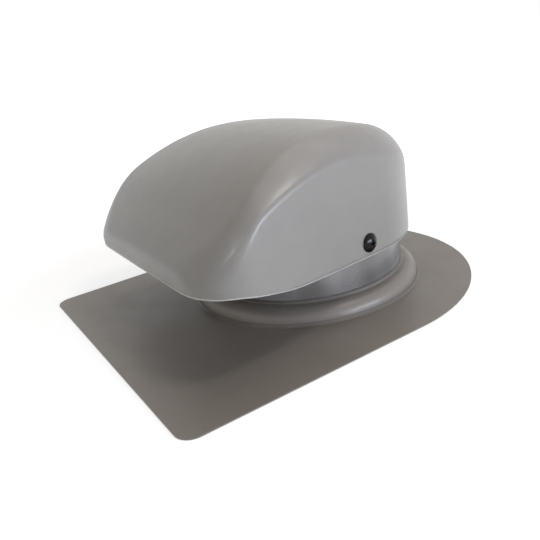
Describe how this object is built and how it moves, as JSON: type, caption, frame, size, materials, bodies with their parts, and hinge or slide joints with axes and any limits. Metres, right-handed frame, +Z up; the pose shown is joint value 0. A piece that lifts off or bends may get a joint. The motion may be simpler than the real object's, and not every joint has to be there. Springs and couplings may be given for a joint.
{
  "type": "roof vent",
  "caption": "Hooded sheet-metal roof vent: flat flange with a raised ring and round neck, a drawn hood with its mouth down the roof, and a gravity flap inside.",
  "frame": {"origin": "middle of the flange's underside, in the plane that lies on the roof", "axes": "+Z up out of the roof, -Y down the roof towards the mouth, X across the vent"},
  "size_m": [0.26, 0.305, 0.13],
  "materials": {
    "painted_steel": "satin grey coating",
    "damper_steel": "satin grey coating",
    "black_screw": "glossy black coating",
    "zinc_steel": "zinc plated",
    "black_nylon": "matte"
  },
  "bodies": {
    "vent_body": {"base_flashing": "painted_steel", "hood": "painted_steel", "left_spacer": "black_nylon", "right_spacer": "black_nylon", "left_hood_screw": "black_screw", "right_hood_screw": "black_screw", "hinge_rod": "zinc_steel", "left_rod_clip": "zinc_steel", "right_rod_clip": "zinc_steel"},
    "flap": {"damper": "damper_steel"}
  },
  "joints": [
    {"name": "damper_hinge", "type": "hinge", "parent": "vent_body", "child": "flap", "pos_m": [0, 0.0865, 0.07846], "axis": [-1, 0, 0], "range_deg": [0, 20]}
  ]
}
